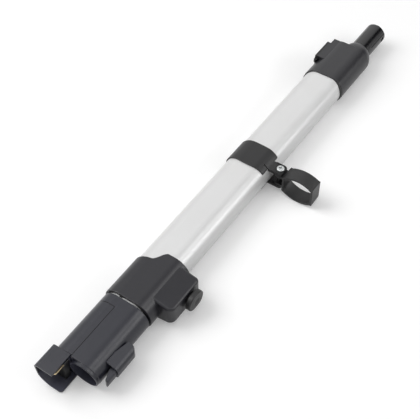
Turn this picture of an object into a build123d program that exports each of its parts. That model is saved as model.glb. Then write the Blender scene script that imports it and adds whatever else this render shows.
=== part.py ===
# Telescopic suction wand, lying flat, slid together.
# Millimetres. X runs along the wand and out of the neck, +Z is up.
# The origin is the centre of the neck's open end.
import os
from math import atan, degrees, radians, sqrt, tan
from build123d import *

# Outer tube, an oval extrusion with two flat sides and two round ones
tube_w = 60.0
tube_h = 40.0
tube_wall = 1.2
tube_side = 7.7          # its centre lies this far from the neck's axis, to +Y

# Gaps between pieces
seat_gap = 0.1           # pieces fixed to each other
slide_gap = 0.35         # pieces that slide on each other
free_gap = 0.6           # moving pieces that must not touch
pin_gap = 0.05           # a pin in the hole it turns in
seam_gap = 0.3           # open seam between two mouldings
past = 50.0              # how far a cutting shape runs past what it cuts

# Lengths along the wand
neck_length = 54.0
shoulder_length = 16.0
upper_collar_length = 78.0
outer_length = 611.0     # neck's end to the lower collar's rim
tube_in_upper = 25.0     # how far the tube goes into each collar
tube_from_rim = 10.0     # tube's lower end to the lower collar's rim
closed_gap = 2.4         # lower collar to end fitting, slid together

# Collars
collar_wall = 1.8
collar_rim_r = 0.8
lock_room = 4.4          # extra width of the lower collar beside the tube

# Neck
neck_d = 31.2
neck_bore_d = 26.6
neck_lip_r = 0.7
neck_flare = 1.2
shoulder_power = 2.6
shoulder_steps = (0.0, 0.35, 0.6, 0.8, 1.0)
lock_hole_l = 9.0
lock_hole_h = 6.5
lock_hole_from_end = 8.5
groove_w = 11.0
groove_depth = 0.6
groove_length = 42.0
groove_turn = 45.0       # degrees from the top towards -Y

# Plug housing on the upper collar
plug_length = 47.0       # along the wand, back from the collar's end face
plug_side_in = 3.2       # its side, inside the tube's side
plug_pad_in = 0.7        # beside the cover
plug_top_over = 0.5      # above the tube's top
plug_pocket_w = 10.5
plug_pocket_h = 28.0
plug_pocket_depth = 18.0
plug_pocket_in = 10.0    # middle of the pocket, inside the tube's side
plug_pocket_up = 3.0
plug_block_t = 5.0
plug_rib_l = 5.0
plug_pin_d = 2.4
plug_pin_length = 7.0
plug_pin_pitch = 8.0
plug_pin_count = 3
plug_cover_t = 3.6
plug_cover_r = 1.2
plug_cover_from_end = 11.0
plug_catch_length = 6.0
plug_catch_h = 5.0
plug_catch_down = 3.5    # below the housing's top
plug_catch_r = 1.8
plug_rib_t = 1.2         # ribs between the pins

# Lower collar's scooped edge
lower_collar_short = 62.6
lower_collar_long = 79.0
scoop_slope = 0.2        # how far the short side leans, per mm across
scoop_low_y = 9.0        # from the tube's centre, where the curve starts
scoop_high_y = -5.5      # and where it ends

# Button housing on the lower collar
housing_from_rim = 17.0
housing_length = 58.0
housing_out = 23.5       # outer wall beyond the tube's side
housing_less = 12.5      # outer wall lower than the tube
housing_slope_y = 9.0    # where the sloping faces leave the collar's flats
housing_low_r = 8.0      # its outer corners, seen from above
housing_high_r = 5.5
housing_edge_r = 3.5     # all round the sloping faces
housing_crease_r = 60.0  # where the slopes leave the collar
housing_wall = 2.0
plate_inset = 4.1        # plate's long edges inside the housing's outline
plate_short = 9.0        # its ends inside the housing's ends
plate_r = 3.0
spring_seat = 2.5        # step that the lock's spring stands on

# Button
button_l = 29.0
button_h = 24.0
button_t = 6.0
button_edge_r = 1.6
button_dish = 1.0        # how far its face is hollowed
button_travel = 3.0
button_from_end = 21.0   # button's middle, from the housing's upper end
shank_l = 18.0
shank_h = 12.0
shank_flange = 2.0
shank_flange_t = 1.6
stem_d = 6.0
stem_margin = 3.0        # lever past the stem's middle

# Locking lever and its notches
lever_arm = 15.0         # pin to button stem, and pin to tooth
lever_t = 5.0
lever_h = 9.0
lever_pin_out = 9.5      # pin beyond the tube's side
lever_boss_d = 9.0
lock_pin_d = 3.0
tooth_l = 5.0
tooth_h = 8.0
tooth_edge = 1.5
tooth_clear = 0.4        # tooth's tip off the inner tube
window_l = 12.5          # opening for the tooth
window_h = 12.0
window_low = 1.0         # its middle, below the tooth
notch_l = 8.0
notch_h = 10.0
notch_pitch = 30.0
notch_count = 9
lock_spring_d = 5.6
lock_spring_wire = 0.8
lock_spring_turns = 3

# Inner tube and what slides
inner_gap = 1.7          # between the two tubes' walls
inner_wall = 1.2
inner_in_fitting = 34.8
bush_length = 50.0
guide_sleeve = 22.0      # past the tooth, so the bush stops above it
guide_tab_w = 3.0
guide_tab_l = 1.4
guide_tab_side = 7.0     # from the tube's centre
guide_tab_back = 0.5     # flange inside the collar's rim
stop_gap = 0.5
air_seal_t = 3.0

# End fitting with the nozzle socket
fitting_over_w = 5.0     # wider than the tube
fitting_over_h = 0.8
fitting_shift = 2.5      # its middle, from the tube's centre to -Y
fitting_length = 91.3
fitting_rake = 5.0       # degrees that the open end leans
socket_less = 3.6        # bore smaller than the tube's height
socket_depth = 44.0
socket_rim = 0.5         # edge of the open end, cut at 45 degrees
ring_length = 4.0
ring_step = 0.6
seal_w = 4.0
seal_t = 1.6
seal_in_groove = 0.8
duct_blend = 12.0

# Wire channel and its cover
cover_t = 2.0
cover_length = 77.5
cover_lap = 6.3          # cover over the channel's inner side
channel_wall = 5.3       # channel's inner side, from the socket's bore
channel_h = 24.0

# Plug shroud beside the socket
shroud_length = 30.7
shroud_overlap = 1.9     # over the fitting's end
shroud_t = 2.0
shroud_out = 0.9         # beyond the fitting's side
shroud_top_over = 0.8    # over the socket's bore, above
shroud_low_over = 4.1    # and below
shroud_corner_r = 6.2
shroud_far_r = 4.0
shroud_free_r = 4.0      # free corner of the lower plate
shroud_round_r = 19.0
shroud_root = 12.0
contact_t = 8.0
contact_back = 3.0       # its back face, past the fitting's end
contact_edge = 1.0       # its free edge, from the shroud's top edge
blade_length = 15.0
blade_in = 0.8           # first blade, past the shroud's top edge
blade_down = 1.5         # below the shroud's top wall
blade_edge = 1.5
blade_t = 1.6
blade_gap = 4.0          # between the two
blade_from_side = 5.3    # second blade, from the shroud's side

# Latch that holds the nozzle
latch_pin_x = 33.0       # from the fitting's body end
latch_pin_out = 4.1      # beyond the fitting's side
latch_pin_d = 4.0
latch_turn = 6.0         # degrees
pedal_near = 17.7        # from the fitting's body end
pedal_far = 53.7
pedal_out = 12.0         # beyond the fitting's side
pedal_root_h = 28.0
pedal_outer_h = 14.8
pedal_t = 1.8
pedal_far_r = 8.5
pedal_edge_r = 7.0
pedal_lap = 6.4          # its rim, inside the fitting's side
pedal_straight = 6.0     # part of its side that doesn't taper
hook_tip = 0.7           # inside the fitting's body end
hook_h = 11.0
hook_nose = 19.0
hook_tip_w = 4.0
hook_catch = 2.6
hook_over = 0.9          # hook's step, off the fitting's side
hook_edge = 1.5
hook_nose_l = 4.0
hook_r = 1.2
pin_cover = 0.8
rock_margin = 1.15
lug_w = 9.0
lug_r = 4.6
boss_less = 0.5          # pedal's bosses smaller than the lug
latch_spring_d = 6.5
latch_spring_wire = 0.9
latch_spring_turns = 3
latch_spring_in = 10.0   # from the pedal's far end

# Band, screw and tool ring
band_length = 40.0
band_t = 1.7
band_from_rim = 256.0    # from the lower collar's rim
band_bow = 2.5
band_edge_in = 4.0       # where the top finger ends, inside the tube's side
ear_l = 17.0
ear_t = 4.0
ear_past = 6.2           # past the screw's axis
ear_round = 18.0         # diameter that its corners stay inside
ear_rim = 0.8            # raised edges on the upper ear
ear_slot = 1.2           # slit beside the ear
ear_in = 6.0             # ear's root, inside the tube's side
ear_less = 13.0          # both ears together, lower than the tube
screw_out = 10.5         # beyond the tube's side
screw_from_mid = 2.5     # along the wand, from the band's middle
screw_d = 4.0
screw_head_d = 10.5
screw_head_t = 3.0
screw_head_r = 1.4
screw_cross = 5.6
nut_af = 7.0
nut_t = 3.0
ring_axial = 20.3
ring_w = 45.5
ring_h = 40.0
ring_end_h = 27.0
ring_wall = 2.8
ring_from_screw = 9.0
ring_flat_out = 1.2
ring_tilt = 1.5          # arms start lower at the hub than at the flat end
ring_lip_h = 1.2
hub_t = 3.0              # each of the hub's two plates
hub_less = 0.5           # plates smaller than the ears, all round
hub_sleeve_d = 8.0
hub_web = 2.4

# Worked out from the sizes above
side_y = tube_w / 2
collar_w = tube_w + 2 * collar_wall
collar_h = tube_h + 2 * collar_wall
bore_w = tube_w - 2 * tube_wall
bore_h = tube_h - 2 * tube_wall
inner_w = bore_w - 2 * inner_gap
inner_h = bore_h - 2 * inner_gap
shoulder_x = -neck_length
collar_end_x = shoulder_x - shoulder_length
upper_rim_x = collar_end_x - upper_collar_length
tube_top_x = upper_rim_x + tube_in_upper
lower_rim_x = -outer_length
tube_low_x = lower_rim_x + tube_from_rim
plug_x = collar_end_x - plug_length
plug_side = side_y - plug_side_in
plug_pad_side = side_y - plug_pad_in
plug_pocket_side = side_y - plug_pocket_in
plug_top = tube_h / 2 + plug_top_over
cover_end_x = collar_end_x - plug_cover_from_end
housing_x = lower_rim_x + housing_from_rim
housing_reach = side_y + housing_out
housing_h = tube_h - housing_less
lever_pin_side = side_y + lever_pin_out
housing_end_x = housing_x + housing_length
button_x = housing_end_x - button_from_end
lever_x = button_x - lever_arm
tooth_x = lever_x - lever_arm
window_x = tooth_x - window_low
travel = notch_pitch * notch_count
guide_end_x = tube_low_x + guide_sleeve
bush_x = guide_end_x + travel + stop_gap
inner_top_x = bush_x + bush_length
fitting_top_x = lower_rim_x - closed_gap
fitting_end_x = fitting_top_x - fitting_length
inner_low_x = fitting_top_x - inner_in_fitting
lean = tan(radians(fitting_rake))
fitting_w = tube_w + fitting_over_w
fitting_h = tube_h + fitting_over_h
fitting_side = fitting_shift + fitting_w / 2
socket_d = tube_h - socket_less
socket_side = fitting_side - fitting_h / 2
bore_y = socket_d / 2 - socket_side
channel_inner = bore_y + channel_wall
cover_edge = channel_inner - cover_lap
shroud_side = fitting_w / 2 - fitting_shift + shroud_out
shroud_top_edge = bore_y + shroud_top_over
shroud_low_edge = bore_y - shroud_low_over
blade_low_side = shroud_top_edge - blade_in
blade_w = (shroud_side - blade_from_side - blade_low_side - blade_gap) / 2
cover_top_x = fitting_end_x + cover_length
pedal_pin_x = fitting_end_x + latch_pin_x
latch_pin_side = fitting_side + latch_pin_out
pedal_reach = fitting_side + pedal_out
pedal_root = fitting_side - pedal_lap
band_x = lower_rim_x + band_from_rim + band_length / 2
screw_x = band_x + screw_from_mid
screw_side = side_y + screw_out
band_edge_side = side_y - band_edge_in
ear_h = tube_h - ear_less
lower_collar_w = tube_w + 2 * collar_wall + lock_room
lower_collar_mid = -lock_room / 2


def side(y):
    # from the tube's centre to the model's own Y
    return y + tube_side


def oval(w, h, y=0.0, z=0.0):
    return Pos(side(y), z) * SlotOverall(w, h)


def disc(d, y=0.0, z=0.0):
    return Pos(side(y), z) * Circle(d / 2)


def rect(y0, y1, z0, z1):
    return Pos(side((y0 + y1) / 2), (z0 + z1) / 2) * Rectangle(y1 - y0, z1 - z0)


def run(sketch, x0, x1):
    # a section drawn across the wand, carried from x0 to x1
    return extrude(Plane.YZ.offset(x0) * sketch, amount=x1 - x0)


def box(x0, x1, y0, y1, z0, z1):
    return run(rect(y0, y1, z0, z1), x0, x1)


def plan(points, z0, z1):
    # an outline seen from above, carried from z0 to z1
    line = Polyline(*[(x, side(y)) for x, y in points], close=True)
    return extrude(Plane.XY.offset(z0) * make_face(line), amount=z1 - z0)


def along_y(sketch, x, y0, y1, z=0.0):
    # a section in X and Z, carried across the wand from y0 to y1
    plane = Plane(origin=(x, side(y0), z), x_dir=(1, 0, 0), z_dir=(0, 1, 0))
    return extrude(plane * sketch, amount=y1 - y0)


def upright(d, x, y, z0, z1):
    return extrude(Pos(x, side(y), z0) * Circle(d / 2), amount=z1 - z0)


def round_box(w, h, r, y=0.0, z=0.0):
    return Pos(side(y), z) * RectangleRounded(w, h, r)


def raked(x_mid):
    # everything beyond a leaning plane across the wand, towards the open end
    points = [(x_mid - lean * past, past), (x_mid + lean * past, -past)]
    points += [(x_mid - past, -past), (x_mid - past, past)]
    face = make_face(Polyline(*points, close=True))
    plane = Plane(origin=(0, side(-past), 0), x_dir=(1, 0, 0), z_dir=(0, -1, 0))
    return extrude(plane * face, amount=-2 * past)


def coil(d, wire, turns, length, x, y0, z=0.0):
    # a coil spring that stands across the wand from y0 outwards to -Y
    pitch = (length - wire) / turns
    path = Helix(pitch, length - wire, (d - wire) / 2)
    section = Plane(origin=path @ 0, z_dir=path % 0) * RegularPolygon(wire / 2, 6)
    spring = sweep(section, path=path)
    return Pos(x, side(y0) - wire / 2, z) * (Rot(90, 0, 0) * spring)


def half_height(y, w, h, mid=0.0):
    # height of an oval's surface above the middle, at y
    r = h / 2
    over = max(abs(y - mid) - (w / 2 - r), 0.0)
    return sqrt(r * r - over * over)


def make_outer_tube():
    body = run(oval(tube_w, tube_h), tube_low_x, tube_top_x)
    body -= run(oval(bore_w, bore_h), tube_low_x - 1, tube_top_x + 1)
    window = box(window_x - window_l / 2, window_x + window_l / 2, -tube_w, -tube_w / 4,
                 -window_h / 2, window_h / 2)
    return body - window


def make_upper_collar():
    shell = run(oval(collar_w, collar_h), upper_rim_x, collar_end_x)
    shell = fillet(shell.edges().group_by(Axis.X)[0], collar_rim_r)
    corner = box(plug_x, collar_end_x, 0, plug_side, 0, plug_top)
    corner += box(plug_x, cover_end_x, 0, plug_pad_side, 0, plug_top)
    # the shoulder is a dome from the collar's round -Y side into the neck
    sections = []
    r0 = collar_h / 2
    r1 = neck_d / 2 + neck_flare
    y0 = -(collar_w - collar_h) / 2
    for part in shoulder_steps:
        r = r1 + (r0 - r1) * (1 - part ** shoulder_power)
        y = y0 + (-tube_side - y0) * part
        sections.append(Plane.YZ.offset(collar_end_x + shoulder_length * part) * disc(2 * r, y))
    shoulder = loft(sections)
    neck = run(disc(neck_d, -tube_side), shoulder_x - 1, 0)
    neck = fillet(neck.edges().group_by(Axis.X)[-1], neck_lip_r)
    body = shell + corner + shoulder + neck
    # socket for the tube, then the air duct that narrows to the neck's bore
    duct_from = tube_top_x + air_seal_t + seat_gap
    body -= run(oval(tube_w + 2 * seat_gap, tube_h + 2 * seat_gap), upper_rim_x - 1, duct_from)
    wide = round_box(bore_w, bore_h, bore_h / 2 - 0.1)
    narrow = round_box(neck_bore_d, neck_bore_d, neck_bore_d / 2 - 0.1, -tube_side)
    body -= loft([Plane.YZ.offset(duct_from) * wide, Plane.YZ.offset(collar_end_x) * narrow])
    body -= run(disc(neck_bore_d, -tube_side), collar_end_x - 0.5, 1)
    # pocket for the handle's plug, open at the collar's end face
    half_w = plug_pocket_w / 2
    body -= box(collar_end_x - plug_pocket_depth, collar_end_x + 1,
                plug_pocket_side - half_w, plug_pocket_side + half_w,
                plug_pocket_up - plug_pocket_h / 2, plug_pocket_up + plug_pocket_h / 2)
    hole = along_y(SlotOverall(lock_hole_l, lock_hole_h), -lock_hole_from_end,
                   -tube_side - neck_d, -tube_side - neck_bore_d / 4)
    # shallow groove that guides the handle's catch
    ring = disc(neck_d + 2, -tube_side) - disc(neck_d - 2 * groove_depth, -tube_side)
    slot = Rot(0, 0, groove_turn) * (Pos(0, neck_d / 2) * Rectangle(groove_w, neck_d))
    slot = Pos(side(-tube_side), 0) * slot
    groove = run(ring & slot, -groove_length, 1)
    return body - hole - groove


def make_plug_block():
    x0 = collar_end_x - plug_pocket_depth
    half_w = plug_pocket_w / 2 - seat_gap
    half_h = plug_pocket_h / 2 - seat_gap
    block = box(x0, x0 + plug_block_t, plug_pocket_side - half_w, plug_pocket_side + half_w,
                plug_pocket_up - half_h, plug_pocket_up + half_h)
    for z in pin_heights(1):
        block += box(x0, x0 + plug_block_t + plug_rib_l, plug_pocket_side - half_w,
                     plug_pocket_side + half_w - plug_rib_t, z - plug_rib_t / 2, z + plug_rib_t / 2)
    for z in pin_heights(0):
        block -= run(disc(plug_pin_d + 2 * seat_gap, plug_pocket_side, z), x0 - 1, x0 + plug_block_t + 1)
    return block


def pin_heights(between):
    # heights of the pins, or of the ribs between them
    first = plug_pocket_up - plug_pin_pitch * (plug_pin_count - 1 - between) / 2
    return [first + plug_pin_pitch * i for i in range(plug_pin_count - between)]


def make_plug_pins():
    x0 = collar_end_x - plug_pocket_depth
    pins = []
    for z in pin_heights(0):
        pin = run(disc(plug_pin_d, plug_pocket_side, z), x0, x0 + plug_block_t + plug_pin_length)
        pins.append(chamfer(pin.edges().group_by(Axis.X)[-1], 0.5))
    return Compound(children=pins)


def make_plug_cover():
    # corner moulding on the collar's +Y side, with a catch at its lower end
    y0 = plug_pad_side + seat_gap
    y1 = plug_pad_side + plug_cover_t
    cover = box(plug_x, cover_end_x, y0, y1, 0, plug_top)
    cover = fillet(cover.edges().filter_by(Axis.X).group_by(Axis.Y)[-1], plug_cover_r)
    catch_z = plug_top - plug_catch_down
    catch = box(plug_x - plug_catch_length, plug_x + 1, y0 - plug_catch_r, y1 - plug_catch_r / 2,
                catch_z - plug_catch_h, catch_z)
    catch -= box(plug_x - seat_gap, plug_x + 1, 0, y0, 0, plug_top)
    catch = fillet(catch.edges().filter_by(Axis.Z).group_by(Axis.X)[0], plug_catch_r)
    keep_out = run(oval(collar_w + 2 * seat_gap, collar_h + 2 * seat_gap), plug_x - past, cover_end_x + past)
    return cover + catch - keep_out


def make_upper_seal():
    ring = run(oval(tube_w, tube_h), tube_top_x + seat_gap, tube_top_x + air_seal_t)
    return ring - run(oval(bore_w, bore_h), tube_top_x - 1, tube_top_x + air_seal_t + 1)


def scoop():
    # what the lower collar's edge leaves out, from its lowest to its highest point
    x_low = lower_rim_x + lower_collar_short
    x_high = lower_rim_x + lower_collar_long
    reach = lower_collar_w
    a = (x_low - scoop_slope * (reach - scoop_low_y), side(reach))
    b = (x_low, side(scoop_low_y))
    c = (x_high, side(scoop_high_y))
    d = (x_high, side(-reach))
    edge = [Line(a, b), Spline(b, c, tangents=[(scoop_slope, -1), (0, -1)], tangent_scalars=[0.8, 0.8]),
            Line(c, d)]
    beyond = x_high + past
    rest = Polyline(d, (beyond, side(-reach)), (beyond, side(reach)), a)
    face = make_face(edge + [rest])
    return extrude(Plane.XY.offset(-collar_h) * face, amount=2 * collar_h)


def housing_section(inset=0.0):
    # sloping faces that leave the collar's flats and meet the outer wall
    half = housing_h / 2 - inset
    top = collar_h / 2 - inset
    y1 = -housing_reach + inset
    points = [(0, top), (-housing_slope_y, top), (y1, half), (y1, -half), (-housing_slope_y, -top), (0, -top)]
    line = Polyline(*[(side(y), z) for y, z in points], close=True)
    face = make_face(line)
    crease = face.vertices().filter_by(lambda v: abs(v.X - side(-housing_slope_y)) < seat_gap)
    return fillet(crease, housing_crease_r)


def housing_outline():
    # the housing seen from above
    y0 = -housing_reach
    w = housing_reach - housing_slope_y
    sketch = Pos((housing_x + housing_end_x) / 2, side(y0 + w / 2)) * Rectangle(housing_length, w)
    outer = sketch.vertices().group_by(Axis.Y)[0].sort_by(Axis.X)
    sketch = fillet(outer[0], housing_low_r)
    outer = sketch.vertices().group_by(Axis.Y)[0].sort_by(Axis.X)
    sketch = fillet(outer[-1], housing_high_r)
    return extrude(Plane.XY.offset(-collar_h) * sketch, amount=2 * collar_h)


def make_lower_collar():
    shell = run(oval(lower_collar_w, collar_h, lower_collar_mid), lower_rim_x, lower_rim_x + lower_collar_long)
    shell = fillet(shell.edges().group_by(Axis.X)[0], collar_rim_r)
    shell -= scoop()
    housing = run(housing_section(), housing_x, housing_end_x) & housing_outline()
    outer = housing.edges().filter_by(lambda e: e.center().Y < side(-side_y / 2))
    rims = outer.filter_by(lambda e: abs(e.center().Z) > housing_h / 4)
    housing = fillet(rims, housing_edge_r)
    body = shell + housing
    body -= run(oval(tube_w + 2 * seat_gap, tube_h + 2 * seat_gap), lower_rim_x - 1, housing_end_x + past)
    # room for the lever and the button's shank, with a step for the spring
    room_h = 2 * (shank_h / 2 + shank_flange + free_gap)
    wall_y = -side_y - housing_wall
    inside = -housing_reach + housing_wall
    step_x = tooth_x + lock_spring_d / 2 + free_gap
    high = button_x + shank_l / 2 + shank_flange + free_gap
    body -= box(tooth_x - tooth_l, high, inside + spring_seat, wall_y, -room_h / 2, room_h / 2)
    body -= box(step_x, high, inside - 1, wall_y, -room_h / 2, room_h / 2)
    body -= box(window_x - window_l / 2, window_x + window_l / 2, wall_y - 1, -tube_w / 4,
                -window_h / 2, window_h / 2)
    plate = plate_outline(seat_gap)
    body -= along_y(plate, plate_x(), -housing_reach - 1, -housing_reach + housing_wall)
    half_pin = housing_h / 2
    body -= upright(lock_pin_d + 2 * seat_gap, lever_x, -lever_pin_side, -half_pin, half_pin)
    return body


def plate_x():
    return (housing_x + housing_end_x) / 2


def plate_outline(grow=0.0):
    length = housing_length - 2 * plate_short + 2 * grow
    height = housing_h - 2 * plate_inset + 2 * grow
    return RectangleRounded(length, height, plate_r + grow)


def make_button_plate():
    plate = along_y(plate_outline(), plate_x(), -housing_reach, -housing_reach + housing_wall - seat_gap)
    hole = SlotOverall(shank_l + 2 * slide_gap, shank_h + 2 * slide_gap)
    return plate - along_y(hole, button_x, -housing_reach - 1, -housing_reach + housing_wall + 1)


def make_guide_bush():
    hole_w = inner_w + 2 * slide_gap
    hole_h = inner_h + 2 * slide_gap
    flange_x = lower_rim_x + guide_tab_back
    flange = run(oval(tube_w, tube_h), flange_x, tube_low_x - seat_gap)
    sleeve = run(oval(bore_w - 2 * seat_gap, bore_h - 2 * seat_gap), flange_x, guide_end_x)
    body = flange + sleeve - run(oval(hole_w, hole_h), flange_x - 1, guide_end_x + 1)
    tab = box(flange_x - guide_tab_l, flange_x + 1, guide_tab_side - guide_tab_w / 2,
              guide_tab_side + guide_tab_w / 2, hole_h / 2, tube_h / 2)
    slot = box(window_x - window_l / 2, guide_end_x + 1, -tube_w, -tube_w / 4, -window_h / 2, window_h / 2)
    return body + tab - slot


def button_face_y():
    return -housing_reach - button_travel - seam_gap


def make_release_button():
    y_face = button_face_y()
    cap = along_y(SlotOverall(button_l, button_h), button_x, y_face - button_t, y_face)
    cap = fillet(cap.edges().group_by(Axis.Y)[0], button_edge_r)
    dish_r = (button_h * button_h / 16 + button_dish * button_dish) / (2 * button_dish)
    cap -= Pos(button_x, side(y_face - button_t + button_dish - dish_r), 0) * Sphere(dish_r)
    inside = -housing_reach + housing_wall + slide_gap
    shank = along_y(SlotOverall(shank_l, shank_h), button_x, y_face - 1, inside + shank_flange_t)
    flange = SlotOverall(shank_l + 2 * shank_flange, shank_h + 2 * shank_flange)
    body = cap + shank + along_y(flange, button_x, inside, inside + shank_flange_t)
    stem_end = -lever_pin_side - lever_t / 2 - slide_gap
    stem = along_y(Circle(stem_d / 2), button_x, inside, stem_end - stem_d / 2)
    tip = Pos(button_x, side(stem_end - stem_d / 2), 0) * Sphere(stem_d / 2)
    return body + stem + tip


def make_lock_lever():
    y0 = -lever_pin_side - lever_t / 2
    bar = box(tooth_x - tooth_l / 2, button_x + stem_margin, y0, y0 + lever_t, -lever_h / 2, lever_h / 2)
    bar = fillet(bar.edges().filter_by(Axis.Z), tooth_edge)
    boss = upright(lever_boss_d, lever_x, -lever_pin_side, -lever_h / 2, lever_h / 2)
    tip_y = -inner_w / 2 - tooth_clear
    tooth = box(tooth_x - tooth_l / 2, tooth_x + tooth_l / 2, y0 + tooth_edge, tip_y,
                -tooth_h / 2, tooth_h / 2)
    tooth = chamfer(tooth.edges().filter_by(Axis.Z).sort_by(Axis.Y)[-1:], tooth_edge)
    body = bar + boss + tooth
    return body - upright(lock_pin_d + 2 * pin_gap, lever_x, -lever_pin_side, -lever_h, lever_h)


def make_lock_pin():
    half = housing_h / 2 - seat_gap
    pin = upright(lock_pin_d, lever_x, -lever_pin_side, -half, half)
    return chamfer(pin.edges().filter_by(GeomType.CIRCLE), 0.3)


def make_lock_spring():
    y_seat = -housing_reach + housing_wall + spring_seat
    y_lever = -lever_pin_side - lever_t / 2
    length = y_lever - y_seat - 2 * seat_gap
    return coil(lock_spring_d, lock_spring_wire, lock_spring_turns, length, tooth_x, y_lever - seat_gap)


def make_inner_tube():
    body = run(oval(inner_w, inner_h), inner_low_x, inner_top_x - air_seal_t)
    body -= run(oval(inner_w - 2 * inner_wall, inner_h - 2 * inner_wall), inner_low_x - 1, inner_top_x + 1)
    for i in range(notch_count):
        x = tooth_x + notch_pitch * (i + 1)
        if x + notch_l < bush_x:
            body -= box(x - notch_l / 2, x + notch_l / 2, -inner_w / 2 - 1, -inner_w / 4,
                        -notch_h / 2, notch_h / 2)
    return body


def make_slide_bush():
    outer_w = bore_w - 2 * slide_gap
    outer_h = bore_h - 2 * slide_gap
    body = run(oval(outer_w, outer_h), bush_x, inner_top_x)
    body = chamfer(body.edges().group_by(Axis.X)[0], 0.5)
    body -= run(oval(inner_w + 2 * seat_gap, inner_h + 2 * seat_gap), bush_x - 1, inner_top_x - air_seal_t)
    return body - run(oval(inner_w - 2 * inner_wall, inner_h - 2 * inner_wall), bush_x, inner_top_x + 1)


def make_air_seal():
    outer_w = bore_w - 2 * slide_gap
    outer_h = bore_h - 2 * slide_gap
    x0 = inner_top_x + seat_gap
    ring = run(oval(outer_w, outer_h), x0, x0 + air_seal_t)
    ring = chamfer(ring.edges().group_by(Axis.X)[-1], 0.6)
    return ring - run(oval(inner_w - 2 * inner_wall, inner_h - 2 * inner_wall), x0 - 1, x0 + air_seal_t + 1)


def fitting_oval(inset=0.0):
    return oval(fitting_w - 2 * inset, fitting_h - 2 * inset, -fitting_shift)


def make_end_fitting():
    ring_x = fitting_end_x - ring_length
    body = run(fitting_oval(), fitting_end_x - past / 2, fitting_top_x)
    body = fillet(body.edges().group_by(Axis.X)[-1], collar_rim_r)
    body -= raked(fitting_end_x)
    body = chamfer(body.faces().sort_by(Axis.X)[0].edges(), socket_rim)
    ring_d = fitting_h - 2 * ring_step
    ring = run(disc(ring_d, -socket_side), ring_x - past / 2, fitting_end_x + socket_depth / 4)
    ring -= raked(ring_x)
    body += chamfer(ring.faces().sort_by(Axis.X)[0].edges(), socket_rim)
    # socket for the inner tube, the blend to the round duct, and the nozzle's bore
    around_tube = oval(inner_w + 2 * seat_gap, inner_h + 2 * seat_gap)
    body -= run(around_tube, inner_low_x - seat_gap, fitting_top_x + 1)
    bore_end = ring_x + socket_depth
    duct_d = socket_d - 2 * seal_t
    seal_end = bore_end + seal_w
    body -= run(disc(socket_d, -socket_side), ring_x - past, bore_end)
    body -= run(disc(socket_d + 2 * seal_in_groove, -socket_side), bore_end, seal_end)
    wide = round_box(inner_w - 2 * inner_wall, inner_h - 2 * inner_wall, inner_h / 2 - inner_wall - 0.1)
    narrow = round_box(duct_d, duct_d, duct_d / 2 - 0.1, -socket_side)
    body -= run(disc(duct_d, -socket_side), seal_end - 1, inner_low_x - duct_blend)
    body -= loft([Plane.YZ.offset(inner_low_x - duct_blend) * narrow, Plane.YZ.offset(inner_low_x) * wide])
    # step for the channel cover, and the wire channel under it
    outer = run(fitting_oval(-1), fitting_end_x - past, cover_top_x)
    core = run(fitting_oval(cover_t + seat_gap), fitting_end_x - past, cover_top_x)
    beyond = box(fitting_end_x - past, cover_top_x, cover_edge, fitting_w, -fitting_h, fitting_h)
    body -= (outer - core) & beyond
    body -= box(fitting_end_x - past, cover_top_x - cover_t, channel_inner, fitting_w,
                -channel_h / 2, channel_h / 2)
    # lug that carries the latch's pin
    lug = upright(2 * lug_r, pedal_pin_x, -latch_pin_side, -lug_w / 2, lug_w / 2)
    lug += box(pedal_pin_x - lug_r, pedal_pin_x + lug_r, -latch_pin_side, -socket_side - socket_d / 2 - 1,
               -lug_w / 2, lug_w / 2)
    body += lug
    return body - upright(latch_pin_d + 2 * pin_gap, pedal_pin_x, -latch_pin_side, -lug_w, lug_w)


def make_nozzle_seal():
    x0 = fitting_end_x - ring_length + socket_depth + seat_gap
    x1 = x0 + seal_w - 2 * seat_gap
    ring = run(disc(socket_d + 2 * seal_in_groove - 2 * seat_gap, -socket_side), x0, x1)
    return ring - run(disc(socket_d - 2 * seal_t, -socket_side), x0 - 1, x1 + 1)


def make_channel_cover():
    body = run(fitting_oval(), fitting_end_x, cover_top_x - seam_gap)
    body -= run(fitting_oval(cover_t), fitting_end_x - 1, cover_top_x + 1)
    body &= box(fitting_end_x - 1, cover_top_x, cover_edge + seam_gap, fitting_w, -fitting_h, fitting_h)
    return body - raked(fitting_end_x + shroud_overlap + seam_gap)


def shroud_section(inset=0.0):
    # open to -Y; nearly square above, round below like the fitting
    top = fitting_h / 2 - inset
    y1 = shroud_side - inset
    low_r = shroud_round_r - inset
    top_r = max(shroud_corner_r - inset, 0.5)
    y_top = shroud_top_edge - (past if inset else 0)
    y_low = shroud_low_edge - (past if inset else 0)
    a = (side(y_top), top)
    b = (side(y1 - top_r), top)
    c = (side(y1), top - top_r)
    d = (side(y1), -top + low_r)
    e = (side(y1 - low_r), -top)
    f = (side(y_low), -top)
    edges = [Line(a, b), RadiusArc(b, c, top_r), Line(c, d), RadiusArc(d, e, low_r), Line(e, f), Line(f, a)]
    return make_face(edges)


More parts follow.
